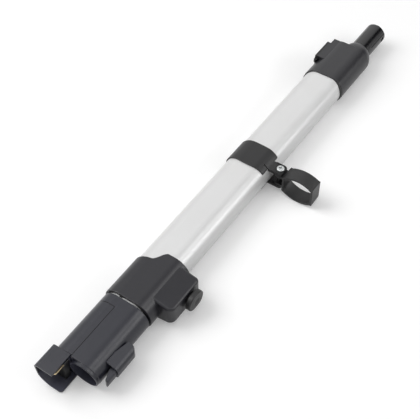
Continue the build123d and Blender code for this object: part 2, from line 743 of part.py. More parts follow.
def make_plug_shroud():
    x0 = fitting_end_x - shroud_length
    x1 = fitting_end_x + shroud_root
    body = run(shroud_section(), x0 - shroud_t, x1)
    body -= run(shroud_section(shroud_t), x0 - 2 * shroud_t, x1) & raked(fitting_end_x - shroud_t)
    # what the fitting's own end and its step for the cover take up
    low = fitting_end_x - past / 2
    high = fitting_end_x + past / 2
    taken = run(fitting_oval(cover_t), low, high)
    taken += run(fitting_oval(), low, high) & box(
        low, high, -fitting_w, cover_edge + seat_gap, -fitting_h, fitting_h)
    body -= taken - raked(fitting_end_x - seat_gap)
    body -= raked(x0)
    body &= raked(fitting_end_x + shroud_overlap)
    # the far corner is rounded, seen from above
    corner_x = fitting_end_x + shroud_overlap
    keep = Pos(corner_x - past, side(shroud_side - past)) * Rectangle(2 * past, 2 * past)
    keep = fillet(keep.vertices().group_by(Axis.X)[-1].group_by(Axis.Y)[-1], shroud_far_r)
    body &= extrude(Plane.XY.offset(-fitting_h) * keep, amount=2 * fitting_h)
    # and so is the lower plate's free corner
    r = shroud_free_r
    free_x = x0 + lean * fitting_h / 2 + r
    free_y = side(shroud_low_edge) + r
    corner = Pos(free_x - r, free_y - r) * Rectangle(2 * r, 2 * r) - Pos(free_x, free_y) * Circle(r)
    body -= extrude(Plane.XY.offset(-fitting_h) * corner, amount=fitting_h)
    # back wall between the shroud and the fitting, and the root in the wire channel
    root = run(fitting_oval(cover_t + seam_gap), fitting_end_x - contact_back, x1)
    root &= box(fitting_end_x - contact_back, x1, channel_inner + seam_gap, fitting_w,
                -channel_h / 2 + seam_gap, channel_h / 2 - seam_gap)
    body += root
    ring_clear = run(disc(fitting_h - 2 * ring_step + 2 * seat_gap, -socket_side), x0, fitting_end_x + 1)
    return body - ring_clear


def make_contact_base():
    # insulator against the shroud's back wall, with a slot for each blade
    x1 = fitting_end_x - contact_back - lean * fitting_h / 2
    x0 = x1 - contact_t
    clear = shroud_t + seat_gap
    body = run(shroud_section(clear), x0, x1)
    body &= box(x0, x1, shroud_top_edge + contact_edge, shroud_side, -fitting_h / 2, fitting_h / 2)
    z0, z1 = blade_z()
    for y in blade_sides():
        body -= box(x0 - 1, x1 + 1, y - seat_gap, y + blade_w + seat_gap, z0 - seat_gap, z1 + seat_gap)
    return body


def blade_sides():
    # inner edge of each blade, side by side under the shroud's top
    return [blade_low_side, blade_low_side + blade_w + blade_gap]


def blade_z():
    top = fitting_h / 2 - shroud_t - blade_down
    return top - blade_t, top


def make_contact_blades():
    x1 = fitting_end_x - contact_back - lean * fitting_h / 2 - seat_gap
    blades = []
    z0, z1 = blade_z()
    for y in blade_sides():
        blade = box(x1 - contact_t - blade_length, x1, y, y + blade_w, z0, z1)
        corner = blade.edges().filter_by(Axis.Z).group_by(Axis.X)[0]
        blades.append(chamfer(corner, blade_edge))
    return Compound(children=blades)


def pedal_section(inset=0.0):
    # tapered and rounded from the fitting's side to the outer face
    root = pedal_root_h / 2 - inset
    outer = pedal_outer_h / 2 - inset
    y1 = -pedal_reach + inset
    points = [(-pedal_root, root), (y1, outer), (y1, -outer), (-pedal_root, -root)]
    face = make_face(Polyline(*[(side(y), z) for y, z in points], close=True))
    face += rect(-pedal_root, -pedal_root + pedal_straight, -root, root)
    return fillet(face.vertices().group_by(Axis.X)[0], pedal_edge_r - inset)


def pedal_outline(inset=0.0):
    # seen from above: square at the hook's end, round at the far end
    near = fitting_end_x + pedal_near
    far = fitting_end_x + pedal_far - inset
    if inset:
        near -= past
    y1 = -pedal_reach + inset
    w = -pedal_root + pedal_straight - y1
    sketch = Pos((near + far) / 2, side(y1 + w / 2)) * Rectangle(far - near, w)
    sketch = fillet(sketch.vertices().group_by(Axis.X)[-1].group_by(Axis.Y)[0], pedal_far_r - inset)
    return extrude(Plane.XY.offset(-pedal_root_h) * sketch, amount=2 * pedal_root_h)


def make_latch_pedal():
    near = fitting_end_x - past
    far = fitting_end_x + pedal_far + pedal_far_r
    body = run(pedal_section(), near, far) & pedal_outline()
    body -= run(pedal_section(pedal_t), near, far) & pedal_outline(pedal_t)
    # bosses for the pin, inside both side walls
    for up in (1, -1):
        z0 = up * (lug_w / 2 + slide_gap)
        z1 = up * pedal_root_h / 2
        boss = upright(2 * lug_r - 2 * boss_less, pedal_pin_x, -latch_pin_side, min(z0, z1), max(z0, z1))
        body += boss & run(pedal_section(), near, far)
    # the rim follows the fitting, and leaves room for the far end to rock inwards
    body -= run(fitting_oval(-free_gap), near, pedal_pin_x)
    deep = free_gap + rock_margin * tan(radians(latch_turn)) * (far - pedal_pin_x)
    at_pin = Plane.YZ.offset(pedal_pin_x) * fitting_oval(-free_gap)
    body -= loft([at_pin, Plane.YZ.offset(far) * fitting_oval(-deep)])
    return body - upright(latch_pin_d + 2 * seat_gap, pedal_pin_x, -latch_pin_side, -pin_half(), pin_half())


def pin_half():
    # the pin ends inside the pedal's tapered walls
    taper = (pedal_root_h - pedal_outer_h) / 2 / (pedal_reach - pedal_root)
    return pedal_root_h / 2 - taper * (latch_pin_side + latch_pin_d / 2 - pedal_root) - pin_cover


def make_latch_hook():
    # wedge-nosed hook inside the pedal; its step faces the wand
    tip = fitting_end_x + hook_tip
    out = -pedal_reach + pedal_t
    step = tip + hook_nose
    inner = -fitting_side - free_gap - hook_over
    root = pedal_pin_x - lug_r - 2 * free_gap
    points = [(tip + hook_edge, out), (tip, out + hook_edge), (tip + hook_edge, out + hook_tip_w),
              (step - hook_nose_l, inner), (step, inner), (step, inner - hook_catch),
              (root, inner - hook_catch), (root, out)]
    hook = plan(points, -hook_h / 2, hook_h / 2)
    hook = fillet(hook.edges().filter_by(Axis.Z).group_by(Axis.X)[0], hook_r)
    return hook & run(pedal_section(pedal_t), tip - 1, root + 1)


def make_latch_pin():
    half = pin_half() - seat_gap
    pin = upright(latch_pin_d, pedal_pin_x, -latch_pin_side, -half, half)
    return chamfer(pin.edges().filter_by(GeomType.CIRCLE), 0.4)


def make_latch_spring():
    y0 = -fitting_side - seat_gap
    y1 = -pedal_reach + pedal_t
    x = fitting_end_x + pedal_far - latch_spring_in
    return coil(latch_spring_d, latch_spring_wire, latch_spring_turns, y0 - y1 - 3 * seat_gap, x, y0)


def make_clip_band():
    x0 = band_x - band_length / 2
    x1 = band_x + band_length / 2
    body = run(oval(tube_w + 2 * band_t, tube_h + 2 * band_t), x0, x1)
    # both long edges bow outwards a little over the top
    for x, way in ((x0, 1), (x1, -1)):
        bow = [(x, side(-tube_w)), (x + way * band_bow, side(-tube_w / 2 - band_t)), (x, side(0)),
               (x + way * band_bow, side(tube_w / 2 + band_t)), (x, side(tube_w))]
        beyond = x - way * past
        rest = Polyline(bow[4], (beyond, side(tube_w)), (beyond, side(-tube_w)), bow[0])
        arc = ThreePointArc(bow[1], bow[2], bow[3])
        face = make_face([Line(bow[0], bow[1]), arc, Line(bow[3], bow[4]), rest])
        body -= extrude(Plane.XY.offset(-tube_h) * face, amount=2 * tube_h)
    gap_z = half_height(band_edge_side, tube_w + 2 * band_t, tube_h + 2 * band_t)
    ear_x0 = screw_x - ear_l / 2
    ear_x1 = ear_x0 + ear_l
    # fingers beside the ears end short, so the band can spring open
    body -= box(x0 - 1, ear_x0, -tube_w, -band_edge_side, -gap_z, gap_z)
    body -= box(ear_x1, x1 + 1, -tube_w, -band_edge_side, -gap_z, gap_z)
    body -= box(ear_x0 - ear_slot, ear_x0, -tube_w, -tube_w / 3, 0, tube_h)
    for up in (1, -1):
        z1 = up * ear_h / 2
        z0 = z1 - up * ear_t
        lo, hi = min(z0, z1), max(z0, z1)
        body += box(ear_x0, ear_x1, -screw_side, -side_y + ear_in, lo, hi)
        body += upright(ear_round, screw_x, -screw_side, lo, hi) & box(
            ear_x0, ear_x1, -screw_side - ear_past, -screw_side, lo, hi)
    for x in (ear_x0, ear_x1 - 2 * ear_rim):
        x_end = x + 2 * ear_rim
        z_rim = ear_h / 2 + ear_rim
        rim = box(x, x_end, -screw_side - ear_past, -side_y, z_rim - 2 * ear_rim, z_rim)
        within = upright(ear_round, screw_x, -screw_side, 0, ear_h)
        body += rim & (within + box(x, x_end, -screw_side, -side_y, 0, ear_h))
    body -= box(ear_x0 - 1, ear_x1 + 1, -tube_w, -tube_w / 4, -ear_h / 2 + ear_t, ear_h / 2 - ear_t)
    body -= run(oval(tube_w + 2 * seat_gap, tube_h + 2 * seat_gap), x0 - 1, x1 + 1)
    hole = upright(screw_d + 2 * seat_gap, screw_x, -screw_side, -ear_h, ear_h)
    nut = Pos(screw_x, side(-screw_side), -ear_h / 2 - 1) * RegularPolygon(nut_af / 2 + seat_gap, 6, False)
    return body - hole - extrude(nut, amount=1 + nut_t)


def make_clip_screw():
    z_top = ear_h / 2
    shaft = upright(screw_d, screw_x, -screw_side, -ear_h / 2 + seam_gap, z_top + screw_head_t / 4)
    head = upright(screw_head_d, screw_x, -screw_side, z_top, z_top + screw_head_t)
    head = fillet(head.edges().group_by(Axis.Z)[-1], screw_head_r)
    body = shaft + head
    cross_w = screw_cross / 4
    cut = Rectangle(screw_cross, cross_w) + Rectangle(cross_w, screw_cross)
    at_head = Pos(screw_x, side(-screw_side), z_top + screw_head_t / 3)
    return body - extrude(at_head * cut, amount=screw_head_t)


def make_clip_nut():
    base = Pos(screw_x, side(-screw_side), -ear_h / 2) * RegularPolygon(nut_af / 2, 6, False)
    nut = extrude(base, amount=nut_t - seat_gap)
    return nut - upright(screw_d + 2 * pin_gap, screw_x, -screw_side, -ear_h, 0)


def ring_section(inset=0.0):
    # two bowed arms and a flat end, with small lips where they meet
    y0 = -screw_side - ring_from_screw - inset
    y1 = -screw_side - ring_from_screw - ring_w + inset
    end = ring_end_h / 2 - inset
    apex = ring_h / 2 - inset
    mid = (y0 + y1) / 2
    start = end - ring_tilt
    top = ThreePointArc((side(y0), start), (side(mid), apex), (side(y1), end))
    low = ThreePointArc((side(y1), -end), (side(mid), -apex), (side(y0), -start))
    flat_end = Line((side(y1), end), (side(y1), -end))
    hub_end = Line((side(y0), -start), (side(y0), start))
    return make_face([top, flat_end, low, hub_end])


def make_tool_ring():
    x0 = screw_x - ring_axial / 2
    x1 = screw_x + ring_axial / 2
    body = run(ring_section(), x0, x1)
    y_end = -screw_side - ring_from_screw - ring_w
    half = ring_end_h / 2 + ring_flat_out
    body += box(x0, x1, y_end, y_end + ring_wall, -half, half)
    body -= run(ring_section(ring_wall), x0 - 1, x1 + 1)
    # small raised lip on the upper arm's far edge, and the hub on the screw
    y_in = -screw_side - ring_from_screw
    body += box(x1 - ring_wall, x1, y_in - 2 * ring_wall, y_in - ring_wall / 2,
                ring_end_h / 2 - ring_wall, ring_end_h / 2 + ring_lip_h)
    hub_half = ear_h / 2 - ear_t - slide_gap
    hub = upright(ear_l - 2 * hub_less, screw_x, -screw_side, -hub_half, hub_half)
    hub -= upright(ear_l + 1, screw_x, -screw_side, -hub_half + hub_t, hub_half - hub_t)
    hub += upright(hub_sleeve_d, screw_x, -screw_side, -hub_half, hub_half)
    for up in (1, -1):
        z1 = up * hub_half
        z0 = z1 - up * hub_t
        lo, hi = min(z0, z1), max(z0, z1)
        hub += box(screw_x - ear_l / 2 + hub_less, screw_x + ear_l / 2 - hub_less,
                   y_in - ring_wall + hub_less, -screw_side, lo, hi)
    hub += box(screw_x - hub_web / 2, screw_x + hub_web / 2, y_in - hub_less, -screw_side,
               -hub_half, hub_half)
    sweep_d = ear_round + 2 * free_gap
    swing = upright(sweep_d, screw_x, -screw_side, hub_half + pin_gap, ring_h)
    swing += upright(sweep_d, screw_x, -screw_side, -ring_h, -hub_half - pin_gap)
    body -= swing
    body += hub
    return body - upright(screw_d + 2 * pin_gap, screw_x, -screw_side, -ring_h, ring_h)


nodes = {
    "outer_tube": make_outer_tube,
    "upper_collar": make_upper_collar,
    "plug_block": make_plug_block,
    "plug_pins": make_plug_pins,
    "plug_cover": make_plug_cover,
    "upper_seal": make_upper_seal,
    "lower_collar": make_lower_collar,
    "button_plate": make_button_plate,
    "guide_bush": make_guide_bush,
    "release_button": make_release_button,
    "lock_lever": make_lock_lever,
    "lock_pin": make_lock_pin,
    "lock_spring": make_lock_spring,
    "inner_tube": make_inner_tube,
    "slide_bush": make_slide_bush,
    "air_seal": make_air_seal,
    "end_fitting": make_end_fitting,
    "nozzle_seal": make_nozzle_seal,
    "channel_cover": make_channel_cover,
    "plug_shroud": make_plug_shroud,
    "contact_base": make_contact_base,
    "contact_blades": make_contact_blades,
    "latch_pedal": make_latch_pedal,
    "latch_hook": make_latch_hook,
    "latch_pin": make_latch_pin,
    "latch_spring": make_latch_spring,
    "clip_band": make_clip_band,
    "clip_screw": make_clip_screw,
    "clip_nut": make_clip_nut,
    "tool_ring": make_tool_ring,
}

os.makedirs("parts", exist_ok=True)
for name, make in nodes.items():
    export_step(make(), f"parts/{name}.step")
    print(name)
print("travel", travel, "lever turn", round(degrees(atan(button_travel / lever_arm)), 2))
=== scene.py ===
import math
import bmesh
import bpy
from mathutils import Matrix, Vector


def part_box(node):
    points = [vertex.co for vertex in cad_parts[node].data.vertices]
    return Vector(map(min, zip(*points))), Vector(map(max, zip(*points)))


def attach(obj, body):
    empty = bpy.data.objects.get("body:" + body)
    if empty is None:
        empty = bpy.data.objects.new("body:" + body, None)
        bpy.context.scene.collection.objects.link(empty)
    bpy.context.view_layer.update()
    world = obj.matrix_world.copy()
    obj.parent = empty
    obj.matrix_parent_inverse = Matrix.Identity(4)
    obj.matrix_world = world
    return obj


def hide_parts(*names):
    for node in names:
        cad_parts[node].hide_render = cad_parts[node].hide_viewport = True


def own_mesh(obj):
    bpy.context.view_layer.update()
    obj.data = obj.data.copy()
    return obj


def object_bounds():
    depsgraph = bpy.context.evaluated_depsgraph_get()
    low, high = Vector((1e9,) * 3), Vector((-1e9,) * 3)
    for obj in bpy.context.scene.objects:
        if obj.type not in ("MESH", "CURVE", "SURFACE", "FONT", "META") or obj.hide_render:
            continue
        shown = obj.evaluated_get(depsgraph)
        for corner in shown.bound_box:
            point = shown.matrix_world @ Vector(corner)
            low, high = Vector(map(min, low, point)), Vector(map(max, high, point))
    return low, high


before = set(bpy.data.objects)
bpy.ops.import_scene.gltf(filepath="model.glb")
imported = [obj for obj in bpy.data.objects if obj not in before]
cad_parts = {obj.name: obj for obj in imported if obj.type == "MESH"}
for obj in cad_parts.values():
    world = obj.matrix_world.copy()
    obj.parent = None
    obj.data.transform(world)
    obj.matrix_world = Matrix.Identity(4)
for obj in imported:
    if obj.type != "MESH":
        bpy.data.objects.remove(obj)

cadLow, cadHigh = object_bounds()
print("frame loaded:", len(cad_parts), "nodes")


class Wire:
    # one socket of a material; sums written on it become Math nodes
    def __init__(self, mat, socket):
        self.mat = mat
        self.socket = socket

    def out(self, name):               # another output of the same node
        return Wire(self.mat, self.socket.node.outputs[name])

    def maths(self, operation, a, b=0.0):
        return self.mat.node("Math", {"operation": operation}, {0: a, 1: b})

    def __add__(self, other):
        return self.maths("ADD", self, other)

    def __radd__(self, other):
        return self.maths("ADD", other, self)

    def __sub__(self, other):
        return self.maths("SUBTRACT", self, other)

    def __rsub__(self, other):
        return self.maths("SUBTRACT", other, self)

    def __mul__(self, other):
        return self.maths("MULTIPLY", self, other)

    def __pow__(self, other):
        return self.maths("POWER", self, other)

    def __abs__(self):
        return self.maths("ABSOLUTE", self)

    def below(self, limit):
        return self.maths("LESS_THAN", self, limit)

    def above(self, limit):
        return self.maths("GREATER_THAN", self, limit)

    def clipped(self):
        return self.maths("MINIMUM", self.maths("MAXIMUM", self, 0.0), 1.0)


class Finish:
    # a material with its node tree, filled in node by node
    def __init__(self, name, tree=None):
        self.data = None
        if tree is None:
            self.data = bpy.data.materials.new(name)
            self.data.use_nodes = True
            tree = self.data.node_tree
        self.tree = tree
        tree.nodes.clear()

    def put(self, target, value):
        if isinstance(value, Wire):
            self.tree.links.new(value.socket, target)
        else:
            target.default_value = value

    def node(self, kind, settings=None, sockets=None):
        made = self.tree.nodes.new("ShaderNode" + kind)
        for key, value in (settings or {}).items():
            setattr(made, key, value)
        for key, value in (sockets or {}).items():
            self.put(made.inputs[key], value)
        return Wire(self, next((s for s in made.outputs if s.enabled), None)) if made.outputs else made

    def place(self):                   # where a point is on the object, in metres
        return self.node("TexCoord").out("Object")

    def axes(self):                    # the same place as three lengths
        place = self.node("SeparateXYZ", {}, {0: self.place()})
        return place.out("X"), place.out("Y"), place.out("Z")

    def noise(self, vector, scale, detail, rough):
        return self.node("TexNoise", {}, {"Vector": vector, "Scale": scale, "Detail": detail, "Roughness": rough})

    def streaks(self, scales, detail, rough):    # noise that is drawn out along X
        vector = self.node("Mapping", {}, {"Vector": self.place(), "Scale": scales})
        return self.noise(vector, 1.0, detail, rough)

    def blend(self, factor, a, b):     # mixes two colours
        return self.node("Mix", {"data_type": "RGBA"}, {0: factor, 6: a, 7: b}).out(2)

    def ramp(self, value, low, high):  # 0 at low, 1 at high
        return self.node("MapRange", {}, {"Value": value, "From Min": low, "From Max": high})

    def bump(self, height, distance, strength, normal=None):
        sockets = {"Height": height, "Distance": distance, "Strength": strength}
        if normal:
            sockets["Normal"] = normal
        return self.node("Bump", {}, sockets)

    def softEdge(self, radius, samples=6):       # rounds the edges that light catches
        return self.node("Bevel", {"samples": samples}, {"Radius": radius})

    def surface(self, **sockets):
        named = {key.replace("_", " "): value for key, value in sockets.items()}
        shader = self.node("BsdfPrincipled", {}, named)
        self.node("OutputMaterial", {}, {"Surface": shader})
        return self.data


def grey(value, blue=0.0):
    return (value, value * (1 + blue / 2), value * (1 + blue), 1)


def shaded(colour, share):
    return tuple(part * share for part in colour[:3]) + (1,)


cameraSet = {
    "spot": (-1.0452, -0.4079, 0.8993),
    "back": (-0.5256, -0.3592, 0.7712),    # from the object to the camera
    "lens": 77.93,
    "sensor": 36,
    "near": 0.05,
    "far": 50,
}


def setCamera():
    data = bpy.data.cameras.new("camera")
    data.lens = cameraSet["lens"]
    data.sensor_width = cameraSet["sensor"]
    data.clip_start = cameraSet["near"]
    data.clip_end = cameraSet["far"]
    camera = bpy.data.objects.new("camera", data)
    camera.location = cameraSet["spot"]
    camera.rotation_mode = "QUATERNION"
    camera.rotation_quaternion = (-Vector(cameraSet["back"])).to_track_quat("-Z", "Y")
    bpy.context.collection.objects.link(camera)
    bpy.context.scene.camera = camera
    bpy.context.scene.view_settings.view_transform = "Standard"


setCamera()
print("camera set")

studio = {
    "floorSize": 12.0,
    "floorGap": 0.00005,     # under the wand
    "floorGlow": 0.23,       # what the camera sees where all light is held off
    "floorShade": 0.82,      # for the camera and shiny pieces
    "floorPlain": 0.75,      # for the light that bounces off it
    "floorFade": (0.7, 1.5),  # metres from the wand's middle, where the floor turns white
    "skyLight": 0.36,
    "skyMirror": 0.90,       # what shiny pieces see
    # cards round the wand that the shiny pieces reflect: direction, level, and half angles in degrees
    "cards": [
        dict(toward=(0.760, 0.280, 0.590), level=1.40, inner=8.0, outer=38.0),
        dict(toward=(0.760, -0.480, 0.440), level=0.03, inner=12.0, outer=24.0),
        dict(toward=(0.385, -0.110, 0.915), level=0.25, inner=4.0, outer=16.0),
        dict(toward=(0.570, -0.740, 0.360), level=2.20, inner=4.0, outer=14.0),
        dict(toward=(0.400, -0.460, 0.790), level=5.00, inner=3.0, outer=14.0),
    ],
    "lamps": [
        dict(name="keyLamp", spot=(-0.95, 1.30, 1.5), faces=(-0.37, 0.0, 0.0), size=(1.4, 1.4), watts=28.0),
        dict(name="topLamp", spot=(-0.60, -0.1, 2.2), faces=(-0.37, 0.0, 0.0), size=(1.6, 1.6), watts=7.0),
        dict(name="sideLamp", spot=(0.20, -1.1, 0.72), faces=(0.20, 0.0, 0.0), size=(1.1, 0.40), watts=4.6),
    ],
}


def mirrorShare(path):
    return path.out("Is Glossy Ray") + path.out("Is Transmission Ray")


def floorPaper():
    mat = Finish("floorPaper")
    path = mat.node("LightPath")
    seen = mat.node("AddShader", {}, {
        0: mat.node("Emission", {}, {"Color": grey(studio["floorGlow"]), "Strength": 1.0}),
        1: mat.node("BsdfDiffuse", {}, {"Color": grey(studio["floorShade"])}),
    })
    plain = mat.node("BsdfDiffuse", {}, {"Color": grey(studio["floorPlain"])})
    shown = (path.out("Is Camera Ray") + mirrorShare(path)).clipped()
    near = mat.node("MixShader", {}, {0: shown, 1: plain, 2: seen})
    # the far floor runs into the white backdrop
    x, y, _ = mat.axes()
    x = x - (cadLow.x + cadHigh.x) / 2
    far = mat.ramp((x * x + y * y) ** 0.5, *studio["floorFade"]) * path.out("Is Camera Ray")
    white = mat.node("Emission", {}, {"Color": grey(1.0), "Strength": 1.0})
    mat.node("OutputMaterial", {}, {"Surface": mat.node("MixShader", {}, {0: far, 1: near, 2: white})})
    return mat.data


def buildFloor():
    half, z = studio["floorSize"] / 2, cadLow.z - studio["floorGap"]
    mesh = bpy.data.meshes.new("floor")
    mesh.from_pydata([(-half, -half, z), (half, -half, z), (half, half, z), (-half, half, z)], [], [(0, 1, 2, 3)])
    floor = bpy.data.objects.new("floor", mesh)
    bpy.context.collection.objects.link(floor)
    mesh.materials.append(floorPaper())


def buildSky():
    world = bpy.data.worlds.new("sky")
    bpy.context.scene.world = world
    world.use_nodes = True
    sky = Finish("sky", world.node_tree)
    path = sky.node("LightPath")
    direct = path.out("Is Camera Ray")
    mirror = mirrorShare(path).clipped()
    heading = sky.node("TexCoord").out("Generated")
    reflected = studio["skyMirror"]
    for card in studio["cards"]:
        facing = sky.node("VectorMath", {"operation": "DOT_PRODUCT"}, {0: heading, 1: card["toward"]}).out("Value")
        share = sky.ramp(facing, *(math.cos(math.radians(card[end])) for end in ("outer", "inner")))
        reflected = reflected + share * (card["level"] - reflected)
    level = direct + (1 - direct) * (mirror * reflected + (1 - mirror) * studio["skyLight"])
    glow = sky.node("Background", {}, {"Color": (1, 1, 1, 1), "Strength": level})
    sky.node("OutputWorld", {}, {"Surface": glow})


def buildLamp(name, spot, faces, size, watts):
    data = bpy.data.lights.new(name, "AREA")
    data.shape = "RECTANGLE"
    data.size, data.size_y = size
    data.energy = watts
    lamp = bpy.data.objects.new(name, data)
    lamp.location = spot
    lamp.rotation_mode = "QUATERNION"
    lamp.rotation_quaternion = (Vector(spot) - Vector(faces)).to_track_quat("Z", "Y")
    bpy.context.collection.objects.link(lamp)


buildFloor()
buildSky()
for lampSet in studio["lamps"]:
    buildLamp(**lampSet)
print("studio set")

# parts of a moulding that look different, in metres along the frame's axes
areas = {
    "neck": {"from": -0.0535, "to": -0.0525},
    "ears": {"from": -0.0246, "to": -0.0256},
    "seam": {"width": 0.00042, "reach": 0.0004},
    "socket": {"centre": -0.0069, "radius": 0.0186, "end": -0.655},
    "shroud": {"half": 0.01845, "low": 0.0076, "high": 0.0366, "end": -0.7055},
}


def neckShare(mat):
    # 1 on the bare neck, which is polished by the handle's socket
    return mat.ramp(mat.axes()[0], areas["neck"]["from"], areas["neck"]["to"])


def earShadeShare(mat):
    # 1 on the clip's ears, which the tool ring turns between; there the colour is darkened to a fifth as painted
    # shade, and the roughness is raised
    return mat.ramp(mat.axes()[1], areas["ears"]["from"], areas["ears"]["to"])


def recessLightShare(mat):
    # 1 inside the nozzle's socket and under the plug shroud; there the colour is lifted 3.2 times as painted light
    # in these recesses, and the roughness is raised
    x, y, z = mat.axes()
    socket, shroud = areas["socket"], areas["shroud"]
    aside = y - socket["centre"]
    bore = (aside * aside + z * z) ** 0.5
    inSocket = bore.below(socket["radius"]) * x.below(socket["end"])
    inShroud = (abs(z).below(shroud["half"]) * y.below(shroud["high"]) * y.above(shroud["low"])
                * x.below(shroud["end"]))
    return (inSocket + inShroud).clipped()


def seamShare(mat):
    # 1 in the seam round the channel cover's upper face, where dust and shade gather
    low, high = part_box("channel_cover")
    x, y, z = mat.axes()
    width, reach = areas["seam"]["width"], areas["seam"]["reach"]
    along = abs(y - low.y).below(width) * x.below(high.x + reach)
    across = abs(x - high.x).below(width) * y.above(low.y - reach)
    return (along + across).clipped() * z.above(0.0) * x.above(low.x)


# tint is the colour there against the rest, and rough is added to the roughness
touches = {
    "neck": dict(share=neckShare, tint=0.4, rough=-0.14),
    # the ears' tint of 0.2 is painted shade
    "ears": dict(share=earShadeShare, tint=0.2, rough=0.15),
    # the inside's tint of 3.2 is painted light
    "inside": dict(share=recessLightShare, tint=3.2, rough=0.15),
}
seam = {"colour": 0.001, "rough": 0.4}
ribs = {
    "wave": {"Scale": 190.0, "Distortion": 1.2, "Detail": 2.0, "Detail Scale": 3.0},
    "heights": (0.5, 6.0),             # of the grain and the ribs in the bump
    # colour along the ribs, darker in the troughs and lighter on the crests, is painted shade and painted
    # highlight
    "tints": (0.5, 1.4),
}
mould = {
    "fine": (2600.0, 4.0, 0.6),        # scale, detail and roughness of the spark-eroded grain
    "cells": 1500.0,
    "grainShares": (0.6, 0.4),         # of fine and cells in the bump
    "grainStrength": 0.9,
    "flow": ((14.0, 55.0, 55.0), 4.0, 0.55),     # scales, detail and roughness of the flow marks
    "rub": (70.0, 5.0, 0.65),          # handling rub
    "toneEnds": (0.3, 0.7),
    "tones": (0.93, 1.08),
    "rubRough": 0.16,
    "fineRough": 0.08,
    "ior": 1.45,
}
mouldings = {
    "collar": dict(colour=(0.0125, 0.0122, 0.0160), gloss=0.33, grain=0.00004, edge=0.0005),
    "head": dict(colour=(0.0142, 0.0140, 0.0170), gloss=0.32, grain=0.00004, edge=0.0005, part="neck"),
    "fitting": dict(colour=(0.0185, 0.0192, 0.0270), gloss=0.31, grain=0.00004, edge=0.0005, part="inside"),
    "trim": dict(colour=(0.0068, 0.0067, 0.0073), gloss=0.40, grain=0.00003, edge=0.0005),
    "clip": dict(colour=(0.0068, 0.0067, 0.0073), gloss=0.40, grain=0.00003, edge=0.0005, part="ears"),
    "ribbed": dict(colour=(0.0074, 0.0073, 0.0077), gloss=0.40, grain=0.00003, edge=0.0005, part="ribs"),
    "bush": dict(colour=(0.0140, 0.0140, 0.0140), gloss=0.55, grain=0.00004, edge=0.0003),
}


def mouldedPlastic(name, colour, gloss, grain, edge, part=""):
    # spark-eroded mould grain, faint flow marks and handling rub
    mat = Finish(name)
    place = mat.place()
    fine = mat.noise(place, *mould["fine"])
    cells = mat.node("TexVoronoi", {"feature": "SMOOTH_F1"}, {"Vector": place, "Scale": mould["cells"]})
    flow = mat.streaks(*mould["flow"])
    rub = mat.noise(place, *mould["rub"])
    dark, light = (shaded(colour, tone) for tone in mould["tones"])
    rough = gloss + (rub - 0.5) * mould["rubRough"] + (fine - 0.5) * mould["fineRough"]
    # on the ears this darkening is painted shade; inside the socket and under the shroud this lifting is painted
    # light
    if part in touches:
        share, tint = touches[part]["share"](mat), touches[part]["tint"]
        dark, light = (mat.blend(share, shade, shaded(shade, tint)) for shade in (dark, light))
        rough = rough + share * touches[part]["rough"]
    if part == "inside":
        share = seamShare(mat)
        dark, light = (mat.blend(share, shade, grey(seam["colour"])) for shade in (dark, light))
        rough = rough + share * seam["rough"]
    if part == "ribs":
        bands = mat.node("TexWave", {"bands_direction": "X"}, {"Vector": place, **ribs["wave"]})
        fineShare, ribShare = ribs["heights"]
        fine = fine * fineShare + bands * ribShare
        # the ribs' troughs get painted shade and their crests a painted highlight
        dark, light = (mat.blend(bands, *(shaded(shade, tint) for tint in ribs["tints"]))
                       for shade in (dark, light))
    fineShare, cellShare = mould["grainShares"]
    skin = mat.bump(fine * fineShare + cells * cellShare, grain, mould["grainStrength"], mat.softEdge(edge))
    return mat.surface(Base_Color=mat.blend(mat.ramp(flow, *mould["toneEnds"]), dark, light),
                       Roughness=rough, Normal=skin, IOR=mould["ior"])


tubing = {
    "shades": ((0.975, -0.006), (1.0, 0.002)),    # share of the shade, and its blue
    "lines": ((5.0, 2600.0, 2600.0), 3.0, 0.6),  # die lines along the tube
    "broad": ((2.0, 260.0, 260.0), 2.0, 0.5),
    "bloom": ((18.0, 30.0, 30.0), 5.0, 0.6),     # soft cloudy anodising
    "bloomEnds": (0.3, 0.7),
    "speck": (3800.0, 2.0, 0.5),
    "heights": (0.5, 0.3, 0.2),        # of lines, broad and speck in the bump
    "roughSpread": 0.10,
    "metallic": 0.28,
    "strength": 0.6,
    "ior": 1.5,
}


def drawnAluminium(name, shade, gloss, depth):
    # satin anodised extrusion
    mat = Finish(name)
    lines, broad, bloom = (mat.streaks(*tubing[key]) for key in ("lines", "broad", "bloom"))
    speck = mat.noise(mat.place(), *tubing["speck"])
    tints = (grey(shade * share, blue) for share, blue in tubing["shades"])
    colour = mat.blend(mat.ramp(bloom, *tubing["bloomEnds"]), *tints)
    rough = gloss + (bloom - 0.5) * tubing["roughSpread"] + (lines - 0.5) * tubing["roughSpread"]
    lineShare, broadShare, speckShare = tubing["heights"]
    height = lines * lineShare + broad * broadShare + speck * speckShare
    skin = mat.bump(height, depth, tubing["strength"])
    return mat.surface(Base_Color=colour, Metallic=tubing["metallic"], Roughness=rough, Normal=skin,
                       IOR=tubing["ior"])


soft = {
    "dust": (420.0, 5.0, 0.65),
    "dustEnds": (0.45, 0.75),
    "dustTint": 2.0,
    "fine": (2200.0, 3.0, 0.6),
    "gloss": 0.62,
    "roughSpread": 0.2,
    "depth": 0.00005,
    "strength": 0.8,
    "ior": 1.52,
}


def softRubber(name, shade):
    mat = Finish(name)
    dust = mat.noise(mat.place(), *soft["dust"])
    fine = mat.noise(mat.place(), *soft["fine"])
    colour = mat.blend(mat.ramp(dust, *soft["dustEnds"]), grey(shade), grey(shade * soft["dustTint"]))
    return mat.surface(Base_Color=colour, Roughness=soft["gloss"] + (dust - 0.5) * soft["roughSpread"],
                       Normal=mat.bump(fine, soft["depth"], soft["strength"]), IOR=soft["ior"])


bright = {
    "swirl": (1800.0, 4.0, 0.6),
    "marks": ((300.0, 2400.0, 2400.0), 2.0, 0.5),          # fine scratches
    "stain": (260.0, 4.0, 0.6),
    "stainEnds": (0.4, 0.8),
    "roughSpread": 0.18,
    "depth": 0.00002,
    "strength": 0.5,
}


